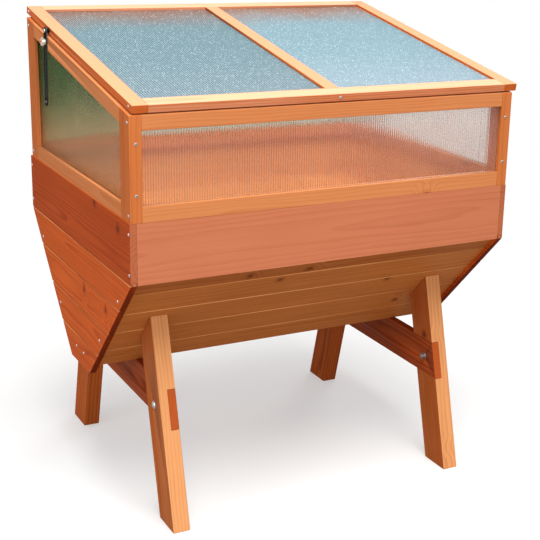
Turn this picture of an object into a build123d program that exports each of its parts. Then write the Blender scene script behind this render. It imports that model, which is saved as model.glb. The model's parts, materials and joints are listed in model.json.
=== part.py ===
from build123d import *
import os
from math import asin, atan2, cos, degrees, hypot, radians, sin, tan

# Raised planting bed on splayed legs, with a cold frame and a hinged lid on its rim.
# Millimetres. X runs along the bed, the front faces -Y, Z is up.

# Extra length of a cutting shape past the face that it cuts through
cut_overrun = 1

# Trough
trough_width = 1000
trough_depth = 760
rim_height = 768
rim_board_height = 141
trough_bottom_height = 310
trough_bottom_width = 142
board_thickness = 16
end_board_cover = 82
slope_board_cover = 93
slope_first_cover = 55
slope_recess = 10
slope_toe_height = 20
tongue_length = 6
tongue_thickness = 5
tongue_clearance = 0.2
seam_chamfer = 2.5
floor_thickness = 16
drain_hole_diameter = 12
drain_hole_pitch = 180
batten_thickness = 20
batten_top_gap = 14
batten_toe_gap = 28

# Legs and crossbars
leg_inset = 95
leg_thickness = 42
leg_depth = 87
leg_tilt = 15.1
foot_reach = 380
crossbar_height = 94
crossbar_thickness = 20
bolt_diameter = 8
bolt_hole_clearance = 0.25
bolt_head_diameter = 20
bolt_head_height = 4.5
bolt_tail = 4
washer_diameter = 17
washer_thickness = 1.6
nut_width = 13
nut_height = 6.5

# Cold frame
frame_side_inset = 2
frame_rear_inset = 10
frame_front_height = 235
frame_rear_height = 363
frame_thickness = 22
corner_stile_width = 28
side_stile_width = 36
top_rail_height = 34
bottom_rail_height = 36
pane_thickness = 4
pane_in_groove = 8
groove_clearance = 0.2
groove_play = 1

# Lid
lid_side_overhang = 2
lid_rear_overhang = 25
lid_front_setback = 1
lid_shift = 9
lid_thickness = 18
lid_gap = 3.5
lid_stile_width = 36
lid_front_rail_width = 43
lid_rear_rail_width = 38
lid_bar_width = 36

# Hinges
hinge_inset = 180
hinge_length = 60
leaf_width = 18
leaf_thickness = 2
knuckle_radius = 4.5
knuckle_gap = 0.3
pin_radius = 2.5
running_clearance = 0.05
knuckle_count = 3

# Slotted stay
lid_opening_angle = 46
stay_pivot_arm = 174
stay_width = 24
stay_thickness = 2.5
stay_top = 10
stay_tilt = 3.5
stay_side_gap = 0.5
stay_screw_drop = 27
stay_slot_width = 9.6
stay_slot_play = 0.5
stay_screw_radius = 2.5
stay_head_gap = 0.3
pivot_screw_depth = 20
pivot_head_radius = 5
pivot_head_height = 2.6
pivot_head_chamfer = 1.2
clamp_screw_depth = 14
screw_end_gap = 1
spacer_radius = 5
rivet_slot_gap = 10
rivet_end_gap = 11
rivet_radius = 1.6
rivet_head_radius = 3
rivet_head_height = 1
flange_radius = 7
flange_thickness = 2.5
hub_radius = 4.4
hub_top_radius = 3.1
hub_height = 5
wing_drop = 4
wing_thickness = 2.4
wing_reach = 10
wing_radius = 4.6
wing_angle = 96

# Derived shape of the trough
knee_height = rim_height - rim_board_height
slope_run = (trough_depth - trough_bottom_width) / 2
slope_rise = knee_height - trough_bottom_height
slope_length = hypot(slope_run, slope_rise)
slope_cos = slope_run / slope_length
slope_sin = slope_rise / slope_length
slope_start = slope_recess / slope_sin - trough_depth / 2
slope_end = (slope_rise - slope_toe_height) / slope_sin
crossbar_bottom = trough_bottom_height + slope_toe_height - crossbar_height
end_inner = trough_width / 2 - board_thickness
rim_inner = trough_depth / 2 - board_thickness

# Derived shape of the cold frame and the lid
frame_front = -trough_depth / 2
frame_rear = trough_depth / 2 - frame_rear_inset
frame_side = trough_width / 2 - frame_side_inset
frame_inner = frame_side - frame_thickness
frame_rise = frame_rear_height - frame_front_height
lid_angle = atan2(frame_rise, frame_rear - frame_front)
lid_start = lid_front_setback
lid_end = hypot(frame_rise, frame_rear - frame_front) + lid_rear_overhang
lid_width = 2 * (frame_side + lid_side_overhang)
lid_left = lid_shift - lid_width / 2
lid_right = lid_shift + lid_width / 2
lid_plane = Plane(
    origin=(0, frame_front, rim_height + frame_front_height),
    x_dir=(1, 0, 0),
    z_dir=(0, -sin(lid_angle), cos(lid_angle)),
)

# Derived places of the hinge axis, the stay's pivot and its clamping screw
hinge_y = frame_rear + knuckle_radius + knuckle_gap
hinge_n = lid_gap - knuckle_radius - knuckle_gap
hinge_s = (hinge_y - frame_front + hinge_n * sin(lid_angle)) / cos(lid_angle)


def lid_point(s, n):
    """Y and Z of a point s along the lid's slope and n above the frame's top."""
    y = frame_front + s * cos(lid_angle) - n * sin(lid_angle)
    z = rim_height + frame_front_height + s * sin(lid_angle) + n * cos(lid_angle)
    return y, z


hinge_z = lid_point(hinge_s, hinge_n)[1]
pivot_y, pivot_z = lid_point(hinge_s - stay_pivot_arm, lid_gap + lid_thickness / 2)
screw_y = pivot_y
screw_z = pivot_z - stay_screw_drop


def pivot_reach(opening):
    """Distance from the stay's pivot to its clamping screw, with the lid open by an angle."""
    arm = hypot(pivot_y - hinge_y, pivot_z - hinge_z)
    turn = atan2(pivot_z - hinge_z, pivot_y - hinge_y) - radians(opening)
    return hypot(hinge_y + arm * cos(turn) - screw_y, hinge_z + arm * sin(turn) - screw_z)


# Derived sizes of the stay's arm, all measured from its pivot
stay_inner_x = -frame_side - stay_side_gap
stay_outer_x = stay_inner_x - stay_thickness
stay_slot_start = pivot_reach(0) - stay_slot_width / 2 - stay_slot_play
stay_slot_end = pivot_reach(lid_opening_angle) + stay_slot_width / 2 + stay_slot_play
rivet_place = stay_slot_end + rivet_slot_gap
stay_length = rivet_place + rivet_end_gap


def bar(x, y, z):
    """Straight bar that fills the given ranges along X, Y and Z."""
    size = [high - low for low, high in (x, y, z)]
    middle = [(high + low) / 2 for low, high in (x, y, z)]
    return Pos(*middle) * Box(*size)


def prism_x(outline, x):
    """Outline of Y and Z points, drawn out over a range of X."""
    face = make_face(Plane.YZ * Polyline(*outline, close=True))
    return Pos(x[0], 0, 0) * extrude(face, amount=x[1] - x[0], dir=(1, 0, 0))


def prism_y(outline, y):
    """Outline of X and Z points, drawn out over a range of Y."""
    points = [(px, 0, pz) for px, pz in outline]
    face = make_face(Polyline(*points, close=True))
    return Pos(0, y[0], 0) * extrude(face, amount=y[1] - y[0], dir=(0, 1, 0))


def round_x(radius, x, y, z):
    """Round bar along X."""
    length = x[1] - x[0]
    return Pos((x[0] + x[1]) / 2, y, z) * Rot(0, 90, 0) * Cylinder(radius, length)


def domed_pin(head_radius, head_height, radius, length):
    """Pin along X from 0 to its length, with a domed head on the other side of 0."""
    dome_radius = (head_radius**2 + head_height**2) / (2 * head_height)
    half_angle = asin(head_radius / dome_radius) / 2
    middle_x = dome_radius - head_height - dome_radius * cos(half_angle)
    dome = ThreePointArc((-head_height, 0), (middle_x, dome_radius * sin(half_angle)), (0, head_radius))
    rim = Polyline((0, head_radius), (0, radius), (length, radius), (length, 0), (-head_height, 0))
    return revolve(make_face(dome + rim), axis=Axis.X)


def lid_bar(x, s, n):
    """Bar in the lid's own plane: along X, up the slope, and above the frame."""
    return lid_plane * bar(x, s, n)


def side_range(side, outer, inner):
    """Range of X on the left (-1) or right (+1), from an outer to an inner distance."""
    return tuple(sorted((side * outer, side * inner)))


# Tongue-and-groove boards


def board_outline(top, bottom, tongue=True, groove=True, top_back=None):
    """Section of a board, as (distance down, depth behind the face) points."""
    low = (board_thickness - tongue_thickness) / 2
    high = (board_thickness + tongue_thickness) / 2
    deep = tongue_length + tongue_clearance
    top_chamfer = seam_chamfer if tongue else 0
    bottom_chamfer = seam_chamfer if groove else 0
    points = [(top + top_chamfer, 0), (bottom - bottom_chamfer, 0)]
    if groove:
        points += [(bottom, seam_chamfer), (bottom, low - tongue_clearance)]
        points += [(bottom - deep, low - tongue_clearance), (bottom - deep, high + tongue_clearance)]
        points += [(bottom, high + tongue_clearance)]
    points += [(bottom, board_thickness)]
    points += [(top if top_back is None else top_back, board_thickness)]
    if tongue:
        points += [(top, high), (top - tongue_length, high), (top - tongue_length, low)]
        points += [(top, low), (top, seam_chamfer)]
    return points


def seams(start, end, first, cover):
    """Distances of the board edges from start to end, the last board taking the rest."""
    count = max(1, round((end - first) / cover))
    return [start] + [first + i * cover for i in range(count)] + [end]


def end_boards(side):
    """Boards of one end of the trough, cut to its tapered outline."""
    half_rim = trough_depth / 2
    half_bottom = trough_bottom_width / 2
    outline = [(-half_rim, rim_height), (half_rim, rim_height), (half_rim, knee_height)]
    outline += [(half_bottom, trough_bottom_height), (-half_bottom, trough_bottom_height)]
    outline += [(-half_rim, knee_height)]
    panel = prism_x(outline, side_range(side, trough_width / 2, end_inner))
    edges = seams(0, rim_height - trough_bottom_height, rim_board_height, end_board_cover)
    boards = []
    for i, (top, bottom) in enumerate(zip(edges, edges[1:])):
        section = board_outline(top, bottom, tongue=i > 0, groove=bottom < edges[-1])
        points = [(side * (trough_width / 2 - depth), rim_height - down) for down, depth in section]
        boards.append(prism_y(points, (-half_rim, half_rim)) & panel)
    return boards


def slope_point(down, depth, side):
    """Y and Z on the front (-1) or rear (+1) slope, down from the knee and behind the face."""
    y = slope_start + down * slope_cos + depth * slope_sin
    z = knee_height - down * slope_sin + depth * slope_cos
    return -side * y, z


def slope_boards(side):
    """Boards of the front or rear slope, the first one cut to stand against the rim board."""
    top_face = (-rim_inner - slope_start) / slope_cos
    top_back = top_face - board_thickness * slope_sin / slope_cos
    edges = seams(top_face, slope_end, slope_first_cover, slope_board_cover)
    boards = []
    for i, (top, bottom) in enumerate(zip(edges, edges[1:])):
        first = i == 0
        section = board_outline(
            top, bottom, tongue=not first, groove=bottom < slope_end, top_back=top_back if first else None
        )
        points = [slope_point(down, depth, side) for down, depth in section]
        boards.append(prism_x(points, (-end_inner, end_inner)))
    return boards


def rim_board(side):
    """Upright front or rear board between the ends."""
    y = side_range(side, trough_depth / 2, rim_inner)
    return bar((-end_inner, end_inner), y, (knee_height, rim_height))


def floor_board():
    """Floor between the slopes, with bevelled edges and a row of drain holes."""
    bottom_y, bottom_z = slope_point(slope_end, board_thickness, -1)
    top_y, top_z = slope_point(slope_end - floor_thickness / slope_sin, board_thickness, -1)
    outline = [(bottom_y, bottom_z), (-bottom_y, bottom_z), (-top_y, top_z), (top_y, top_z)]
    board = prism_x(outline, (-end_inner, end_inner))
    count = int((2 * end_inner - drain_hole_pitch) // drain_hole_pitch) + 1
    for i in range(count):
        x = (i - (count - 1) / 2) * drain_hole_pitch
        hole = Cylinder(drain_hole_diameter / 2, floor_thickness + 2 * cut_overrun)
        board -= Pos(x, 0, (bottom_z + top_z) / 2) * hole
    return board


leg_outer = trough_width / 2 - leg_inset
leg_inner = leg_outer - leg_thickness
leg_lean = tan(radians(leg_tilt))


def batten(x_side, side):
    """Inner batten that ties the slope boards together behind a leg."""
    down = (batten_top_gap, slope_end - batten_toe_gap)
    depth = (board_thickness, board_thickness + batten_thickness)
    outline = [slope_point(s, d, side) for s, d in zip(down + down[::-1], depth[:1] * 2 + depth[1:] * 2)]
    return prism_x(outline, side_range(x_side, leg_outer, leg_inner))


# Legs and crossbars


def leg_top(offset):
    """Y and Z where a leg's face, set back by an offset, meets the slope boards."""
    reach = offset - foot_reach + knee_height * leg_lean - slope_start
    return slope_point(reach / (slope_cos + slope_sin * leg_lean), 0, -1)


def crossbar(x_side):
    """Bar housed in the inner faces of two legs, its ends cut to their outer edges."""
    low = crossbar_bottom
    high = crossbar_bottom + crossbar_height
    low_y = foot_reach - low * leg_lean
    high_y = foot_reach - high * leg_lean
    outline = [(-low_y, low), (low_y, low), (high_y, high), (-high_y, high)]
    return prism_x(outline, side_range(x_side, leg_inner + crossbar_thickness, leg_inner))


def bolt_place(side):
    """Y and Z of the bolt at the middle of a leg and its crossbar."""
    z = crossbar_bottom + crossbar_height / 2
    y = foot_reach - z * leg_lean - leg_depth / cos(radians(leg_tilt)) / 2
    return side * y, z


def leg(x_side, side):
    """Splayed leg with a level foot, a top cut to the slope and a housing for the crossbar."""
    width = leg_depth / cos(radians(leg_tilt))
    outline = [(-foot_reach, 0), (width - foot_reach, 0), leg_top(width), leg_top(0)]
    outline = [(-side * y, z) for y, z in outline]
    solid = prism_x(outline, side_range(x_side, leg_outer, leg_inner)) - crossbar(x_side)
    return solid - bolt_hole(x_side, side)


def bolt_hole(x_side, side):
    """Cutting shape of the bolt hole through a leg and its crossbar."""
    radius = bolt_diameter / 2 + bolt_hole_clearance
    x = side_range(x_side, leg_outer + cut_overrun, leg_inner - cut_overrun)
    return round_x(radius, x, *bolt_place(side))


def bolt_corners():
    """Each corner of the stand, as its left or right and front or rear sign."""
    return [(x_side, side) for x_side in (-1, 1) for side in (-1, 1)]


def leg_bolt(x_side, side):
    """Coach bolt from the leg's outer face, with a domed head."""
    length = leg_thickness + washer_thickness + nut_height + bolt_tail
    solid = domed_pin(bolt_head_diameter / 2, bolt_head_height, bolt_diameter / 2, length)
    if x_side > 0:
        solid = mirror(solid, about=Plane.YZ)
    return Pos(x_side * leg_outer, *bolt_place(side)) * solid


def leg_washer(x_side, side):
    """Round washer on the crossbar's inner face."""
    x = side_range(x_side, leg_inner, leg_inner - washer_thickness)
    hole = bolt_diameter / 2 + bolt_hole_clearance
    place = bolt_place(side)
    return round_x(washer_diameter / 2, x, *place) - round_x(hole, x, *place)


def leg_nut(x_side, side):
    """Hexagon nut on the washer."""
    start = leg_inner - washer_thickness
    x = side_range(x_side, start, start - nut_height)
    place = bolt_place(side)
    section = Plane.YZ * RegularPolygon(nut_width / 2, 6, major_radius=False)
    nut = Pos(x[0], *place) * extrude(section, amount=nut_height, dir=(1, 0, 0))
    return nut - round_x(bolt_diameter / 2 + running_clearance, x, *place)


# Cold frame


def frame_top(y):
    """Height of the frame's sloping top edge."""
    return rim_height + frame_front_height + (y - frame_front) * tan(lid_angle)


def wall_panel(y_outer, y_inner):
    """Stiles, rails and pane of the front or rear wall, from left to right and top to bottom."""
    y = tuple(sorted((y_outer, y_inner)))
    stile_inner = frame_side - corner_stile_width
    rail_low = frame_top(y[0]) - top_rail_height
    rail_high = rim_height + bottom_rail_height
    stile = [(y[0], rim_height), (y[1], rim_height), (y[1], frame_top(y[1])), (y[0], frame_top(y[0]))]
    rail = [(y[0], rail_low), (y[1], rail_low), (y[1], frame_top(y[1])), (y[0], frame_top(y[0]))]
    middle = sum(y) / 2

    def pane(extra, play):
        reach = pane_in_groove + play
        half = pane_thickness / 2 + extra
        x = stile_inner + reach
        return bar((-x, x), (middle - half, middle + half), (rail_high - reach, rail_low + reach))

    groove = pane(groove_clearance, groove_play)
    return {
        "stile_left": prism_x(stile, (-frame_side, -stile_inner)) - groove,
        "stile_right": prism_x(stile, (stile_inner, frame_side)) - groove,
        "top_rail": prism_x(rail, (-stile_inner, stile_inner)) - groove,
        "bottom_rail": bar((-stile_inner, stile_inner), y, (rim_height, rail_high)) - groove,
        "pane": pane(0, 0),
    }


def side_panel(side):
    """Stiles, rails and pane of a side wall, between the front and rear walls."""
    x = side_range(side, frame_side, frame_inner)
    front = frame_front + frame_thickness
    rear = frame_rear - frame_thickness
    rail_front = front + side_stile_width
    rail_rear = rear - side_stile_width
    rail_drop = top_rail_height / cos(lid_angle)
    rail_high = rim_height + bottom_rail_height
    middle = side * (frame_side + frame_inner) / 2

    def upright(y):
        outline = [(y[0], rim_height), (y[1], rim_height), (y[1], frame_top(y[1])), (y[0], frame_top(y[0]))]
        return prism_x(outline, x)

    def pane(extra, play):
        reach = pane_in_groove + play
        half = pane_thickness / 2 + extra
        low = rail_high - reach
        ends = (rail_front - reach, rail_rear + reach)
        tops = [frame_top(y) - rail_drop + reach for y in ends]
        outline = [(ends[0], low), (ends[1], low), (ends[1], tops[1]), (ends[0], tops[0])]
        return prism_x(outline, (middle - half, middle + half))

    top = [(rail_front, frame_top(rail_front) - rail_drop), (rail_rear, frame_top(rail_rear) - rail_drop)]
    top += [(rail_rear, frame_top(rail_rear)), (rail_front, frame_top(rail_front))]
    groove = pane(groove_clearance, groove_play)
    return {
        "front_stile": upright((front, rail_front)) - groove,
        "rear_stile": upright((rail_rear, rear)) - groove,
        "top_rail": prism_x(top, x) - groove,
        "bottom_rail": bar(x, (rail_front, rail_rear), (rim_height, rail_high)) - groove,
        "pane": pane(0, 0),
    }


# Lid


def lid_pieces():
    """Stiles, rails, middle bar and panes of the lid."""
    n = (lid_gap, lid_gap + lid_thickness)
    s = (lid_start, lid_end)
    inner_x = (lid_left + lid_stile_width, lid_right - lid_stile_width)
    inner_s = (s[0] + lid_front_rail_width, s[1] - lid_rear_rail_width)
    bar_x = (lid_shift - lid_bar_width / 2, lid_shift + lid_bar_width / 2)
    middle = sum(n) / 2

    def pane(x, extra, play):
        reach = pane_in_groove + play
        half = pane_thickness / 2 + extra
        across = (x[0] - reach, x[1] + reach)
        along = (inner_s[0] - reach, inner_s[1] + reach)
        return lid_bar(across, along, (middle - half, middle + half))

    bays = ((inner_x[0], bar_x[0]), (bar_x[1], inner_x[1]))
    grooves = [pane(bay, groove_clearance, groove_play) for bay in bays]
    return {
        "stile_left": lid_bar((lid_left, inner_x[0]), s, n) - grooves[0] - pivot_hole(),
        "stile_right": lid_bar((inner_x[1], lid_right), s, n) - grooves[1],
        "front_rail": lid_bar(inner_x, (s[0], inner_s[0]), n) - grooves[0] - grooves[1],
        "rear_rail": lid_bar(inner_x, (inner_s[1], s[1]), n) - grooves[0] - grooves[1],
        "mid_bar": lid_bar(bar_x, inner_s, n) - grooves[0] - grooves[1],
        "pane_left": pane(bays[0], 0, 0),
        "pane_right": pane(bays[1], 0, 0),
    }


# Hinges


def knuckle_spans(x):
    """Ranges of X of a hinge's knuckles, with running gaps between them."""
    pitch = (hinge_length + knuckle_gap) / knuckle_count
    start = x - hinge_length / 2
    return [(start + i * pitch, start + (i + 1) * pitch - knuckle_gap) for i in range(knuckle_count)]


def pin_hole(x):
    """Cutting shape of the hole through a hinge's knuckles."""
    reach = hinge_length / 2 + cut_overrun
    span = (x - reach, x + reach)
    return round_x(pin_radius + running_clearance, span, hinge_y, hinge_z)


def frame_leaf(x):
    """Leaf on the rear wall, with the outer knuckles."""
    y = (frame_rear, frame_rear + leaf_thickness)
    clear = knuckle_radius + 2 * knuckle_gap
    leaf = bar((x - hinge_length / 2, x + hinge_length / 2), y, (hinge_z - leaf_width, hinge_z - clear))
    for span in knuckle_spans(x)[0::2]:
        leaf += bar(span, y, (hinge_z - clear - leaf_thickness, hinge_z))
        leaf += round_x(knuckle_radius, span, hinge_y, hinge_z)
    return leaf - pin_hole(x)


def lid_leaf(x):
    """Leaf under the lid's rear edge, with the middle knuckle."""
    n = (lid_gap - leaf_thickness, lid_gap)
    clear = knuckle_radius + 2 * knuckle_gap
    leaf = lid_bar((x - hinge_length / 2, x + hinge_length / 2), (hinge_s + clear, hinge_s + leaf_width), n)
    for span in knuckle_spans(x)[1::2]:
        leaf += lid_bar(span, (hinge_s, hinge_s + clear + leaf_thickness), n)
        leaf += round_x(knuckle_radius, span, hinge_y, hinge_z)
    return leaf - pin_hole(x)


def hinge_pin(x):
    """Pin as long as its hinge."""
    span = (x - hinge_length / 2, x + hinge_length / 2)
    return round_x(pin_radius, span, hinge_y, hinge_z)


# Slotted stay on the left side


def pivot_hole():
    """Hole for the stay's pivot screw in the lid's left stile."""
    x = (lid_left - cut_overrun, lid_left + pivot_screw_depth + screw_end_gap)
    return round_x(stay_screw_radius + running_clearance, x, pivot_y, pivot_z)


def clamp_hole():
    """Hole for the stay's wing screw in the left wall's top rail."""
    x = (-frame_side - cut_overrun, clamp_screw_depth + screw_end_gap - frame_side)
    return round_x(stay_screw_radius + running_clearance, x, screw_y, screw_z)


def stay_arm():
    """Flat arm with round ends, a pivot hole, a long slot and a rivet hole."""
    lean = radians(stay_tilt)
    plane = Plane(
        origin=(stay_outer_x, pivot_y, pivot_z), x_dir=(0, sin(lean), -cos(lean)), z_dir=(1, 0, 0)
    )
    outline = Pos((stay_length - stay_top) / 2, 0) * SlotOverall(stay_length + stay_top, stay_width)
    slot_middle = (stay_slot_start + stay_slot_end) / 2
    slot_centers = stay_slot_end - stay_slot_start - stay_slot_width
    outline -= Pos(slot_middle, 0) * SlotCenterToCenter(slot_centers, stay_slot_width)
    outline -= Circle(stay_screw_radius + running_clearance)
    outline -= Pos(rivet_place, 0) * Circle(rivet_radius + running_clearance)
    return extrude(plane * outline, amount=stay_thickness)


def stay_rivet():
    """Small rivet through the arm's lower end."""
    lean = radians(stay_tilt)
    y = pivot_y + rivet_place * sin(lean)
    z = pivot_z - rivet_place * cos(lean)
    head = round_x(rivet_head_radius, (stay_outer_x - rivet_head_height, stay_outer_x), y, z)
    return head + round_x(rivet_radius, (stay_outer_x, stay_inner_x), y, z)


def stay_spacer():
    """Sleeve that holds the arm clear of the wall, between the lid and the arm."""
    x = (stay_inner_x + stay_head_gap, lid_left)
    hole = round_x(stay_screw_radius + running_clearance, x, pivot_y, pivot_z)
    return round_x(spacer_radius, x, pivot_y, pivot_z) - hole


def stay_pivot_screw():
    """Pan-head screw that the arm turns on."""
    start = stay_outer_x - stay_head_gap
    length = lid_left + pivot_screw_depth - start
    shank = round_x(stay_screw_radius, (start, start + length), pivot_y, pivot_z)
    head = round_x(pivot_head_radius, (start - pivot_head_height, start), pivot_y, pivot_z)
    top_edge = head.edges().filter_by(GeomType.CIRCLE).sort_by(Axis.X)[0]
    return shank + chamfer(top_edge, pivot_head_chamfer)


def wing_screw():
    """Clamping screw with a flange, a tapered hub and two wings."""
    start = stay_outer_x - stay_side_gap
    flange_end = start - flange_thickness
    hub_end = flange_end - hub_height
    end = clamp_screw_depth - frame_side
    profile = Polyline(
        (end, 0),
        (end, stay_screw_radius),
        (start, stay_screw_radius),
        (start, flange_radius),
        (flange_end, flange_radius),
        (flange_end, hub_radius),
        (hub_end, hub_top_radius),
        (hub_end, 0),
        close=True,
    )
    solid = revolve(make_face(profile), axis=Axis.X)
    lobe_x = flange_end - wing_drop
    lobe = Pos(lobe_x, wing_reach - wing_radius) * Circle(wing_radius)
    root = Polyline((flange_end, 0), (flange_end, hub_radius), (lobe_x, wing_reach), (lobe_x, 0), close=True)
    wing = extrude(lobe + make_face(root), amount=wing_thickness / 2, both=True)
    wings = wing + mirror(wing, about=Plane.XZ)
    below_flange = bar((start, start + 2 * wing_reach), (-wing_reach, wing_reach), (-wing_reach, wing_reach))
    solid += wings - below_flange
    return Pos(0, screw_y, screw_z) * Rot(wing_angle, 0, 0) * solid


# Assembly

nodes = {}
side_names = {-1: "left", 1: "right"}
wall_names = {-1: "front", 1: "rear"}

for side, name in side_names.items():
    nodes[f"end_boards_{name}"] = end_boards(side)
for side, name in wall_names.items():
    nodes[f"{name}_board"] = rim_board(side)
    nodes[f"slope_boards_{name}"] = slope_boards(side)
nodes["floor_board"] = floor_board()
for x_side, side in bolt_corners():
    corner = f"{wall_names[side]}_{side_names[x_side]}"
    nodes[f"batten_{corner}"] = batten(x_side, side)
    nodes[f"leg_{corner}"] = leg(x_side, side)
for x_side, name in side_names.items():
    holes = [bolt_hole(x_side, side) for side in wall_names]
    nodes[f"crossbar_{name}"] = crossbar(x_side) - holes[0] - holes[1]
nodes["leg_bolts"] = [leg_bolt(*corner) for corner in bolt_corners()]
nodes["leg_washers"] = [leg_washer(*corner) for corner in bolt_corners()]
nodes["leg_nuts"] = [leg_nut(*corner) for corner in bolt_corners()]

for piece, solid in wall_panel(frame_front, frame_front + frame_thickness).items():
    nodes[f"front_{piece}"] = solid
for piece, solid in wall_panel(frame_rear, frame_rear - frame_thickness).items():
    nodes[f"rear_{piece}"] = solid
for side, name in side_names.items():
    for piece, solid in side_panel(side).items():
        nodes[f"{name}_{piece}"] = solid
nodes["left_top_rail"] -= clamp_hole()

for piece, solid in lid_pieces().items():
    nodes[f"lid_{piece}"] = solid
hinge_places = (lid_left + hinge_inset, lid_right - hinge_inset)
nodes["hinge_frame_leaves"] = [frame_leaf(x) for x in hinge_places]
nodes["hinge_lid_leaves"] = [lid_leaf(x) for x in hinge_places]
nodes["hinge_pins"] = [hinge_pin(x) for x in hinge_places]
nodes["stay_arm"] = stay_arm()
nodes["stay_rivet"] = stay_rivet()
nodes["stay_spacer"] = stay_spacer()
nodes["stay_pivot_screw"] = stay_pivot_screw()
nodes["wing_screw"] = wing_screw()

# The origin is the middle of the whole object's footprint, on the ground.
shapes = {}
for name, solid in nodes.items():
    solids = solid if isinstance(solid, list) else [solid]
    shapes[name] = Compound([piece for item in solids for piece in item.solids()])
box = Compound(list(shapes.values())).bounding_box()
to_origin = Pos(-(box.min.X + box.max.X) / 2, -(box.min.Y + box.max.Y) / 2, 0)

os.makedirs("parts", exist_ok=True)
for name, shape in shapes.items():
    export_step(to_origin * shape, f"parts/{name}.step")

shift = to_origin.position
print(f"nodes {len(shapes)}, size {box.size.X:.2f} x {box.size.Y:.2f} x {box.size.Z:.2f}")
print(f"origin shift {shift.X:.3f} {shift.Y:.3f}, lid slope {degrees(lid_angle):.3f} degrees")
print(f"hinge axis y {hinge_y + shift.Y:.3f} z {hinge_z:.3f}")
print(f"stay pivot y {pivot_y + shift.Y:.3f} z {pivot_z:.3f}")
print(f"wing screw y {screw_y + shift.Y:.3f} z {screw_z:.3f}")
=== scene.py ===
"""Raised bed with cold frame: stained wood, twin-wall sheets and fittings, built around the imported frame."""

import json
import math
import random
from typing import NamedTuple

import bmesh
import bpy
from bpy.props import FloatProperty, FloatVectorProperty, PointerProperty
from mathutils import Matrix, Vector


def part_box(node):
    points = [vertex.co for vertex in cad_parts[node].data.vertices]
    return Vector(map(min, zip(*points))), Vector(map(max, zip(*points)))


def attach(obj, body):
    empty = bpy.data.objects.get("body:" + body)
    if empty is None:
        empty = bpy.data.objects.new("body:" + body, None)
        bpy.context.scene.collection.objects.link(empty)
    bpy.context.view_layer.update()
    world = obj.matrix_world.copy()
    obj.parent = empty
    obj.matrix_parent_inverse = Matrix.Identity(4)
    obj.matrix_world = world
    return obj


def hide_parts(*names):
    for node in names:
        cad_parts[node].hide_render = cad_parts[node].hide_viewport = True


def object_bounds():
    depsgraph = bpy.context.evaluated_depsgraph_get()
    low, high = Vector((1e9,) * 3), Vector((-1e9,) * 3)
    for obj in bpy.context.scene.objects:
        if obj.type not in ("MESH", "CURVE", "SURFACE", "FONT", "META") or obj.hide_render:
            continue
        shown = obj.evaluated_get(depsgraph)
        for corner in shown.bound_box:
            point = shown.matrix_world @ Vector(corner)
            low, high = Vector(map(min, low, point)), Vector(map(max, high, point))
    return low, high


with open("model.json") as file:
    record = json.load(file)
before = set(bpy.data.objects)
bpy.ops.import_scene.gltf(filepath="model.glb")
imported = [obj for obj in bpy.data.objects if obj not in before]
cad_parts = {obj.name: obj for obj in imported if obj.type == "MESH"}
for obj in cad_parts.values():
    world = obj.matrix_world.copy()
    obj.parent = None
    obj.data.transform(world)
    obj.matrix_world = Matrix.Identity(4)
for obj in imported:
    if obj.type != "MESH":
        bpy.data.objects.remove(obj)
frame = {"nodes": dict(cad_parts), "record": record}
cad_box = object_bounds()

bl_info = {
    "name": "Raised bed with cold frame",
    "version": (1, 0, 0),
    "blender": (4, 5, 0),
    "location": "3D View > Sidebar > Raised bed",
    "description": "Dresses a raised bed and its cold frame in stained wood, twin-wall sheet and steel",
    "category": "Add Mesh",
}

PICTURE_SIDE = 540
SENSOR_WIDTH = 36.0

# Directions, and how far a face leans one way, from 0 for not at all to 1 for straight
UP = Vector((0, 0, 1))
RIGHT = Vector((1, 0, 0))
REAR = Vector((0, 1, 0))
BOTH_SIDES = (-1, 1)
HARDLY = 0.2
SLANTED = 0.3
HALF_WAY = 0.5
MAINLY = 0.7
SQUARELY = 0.9

# How the CAD solids are read and their edges eased
FLAT_ANGLE = math.radians(0.4)
SHARP_ANGLE = math.radians(28)
EDGE_PLACES = 5
SMALL_GAP = 0.0001
SLACK = 0.000001
LEAST_EASED = 8

# Stained softwood: scales along, across and through a board, and reaches in a knot's cell
WANDER_SCALES = (1.7, 16.0, 16.0)
FIBRE_SCALES = (9.0, 520.0, 520.0)
STREAK_SCALES = (2.2, 90.0, 90.0)
BLOTCH_SCALES = (3.4, 13.0, 13.0)
RING_WANDER = 0.022
RING_SWIRL = 0.018
LATE_WOOD_POWER = 3.0
LATE_WOOD_END = 0.90
MEAN_DARKNESS = 0.62
KNOTS_PER_METRE = 6.5
KNOT_SWIRL = (0.0, 0.30)
KNOT_CORE = (0.025, 0.060)
KNOT_HALO = (0.03, 0.14)
KNOT_DEPTH = 0.60
KNOT_WOOD = (0.085, 0.022, 0.008, 1.0)
# Pale colour of the chamfers: a painted highlight
EDGE_HIGHLIGHT_WOOD = (0.82, 0.35, 0.13, 1.0)
SHADED_WOOD = (0.38, 0.34, 0.32, 1.0)
GRAIN_LENGTH = 40
PITH_SHIFT = 0.03
PITH_DEPTHS = (0.02, 0.07)

# Twin-wall sheets and the rain on the lid
# Painted green of the garden seen through the left sheet: its rise, fade and streaks
PAINTED_VIEW_RISE = 0.14
PAINTED_VIEW_FADE = 0.20
PAINTED_VIEW_SCALES = (1.5, 34.0, 1.0)
SKIN_SLOPE = 0.25
LAMP_LIGHT = (0.95, 0.95, 0.95, 1.0)
CLOUD_SCALES = (4.0, 6.0, 6.0)
CLOUD_REACH = 0.18
# How much lighter the lid's sheets are at the front, part of their painted sky reflection
FRONT_GAINS = (1.26, 1.08, 1.08)
RIB_GAINS = (0.20, 0.20, 0.20)
BEADS_PER_METRE = 300.0
BEAD_STRETCH = (0.6, 1.0, 1.0)
BEAD_RADII = (0.12, 0.40)
# Colour of the beads' painted glints
BEAD_GLINT_COLOUR = (0.92, 0.98, 1.0, 1.0)

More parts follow.
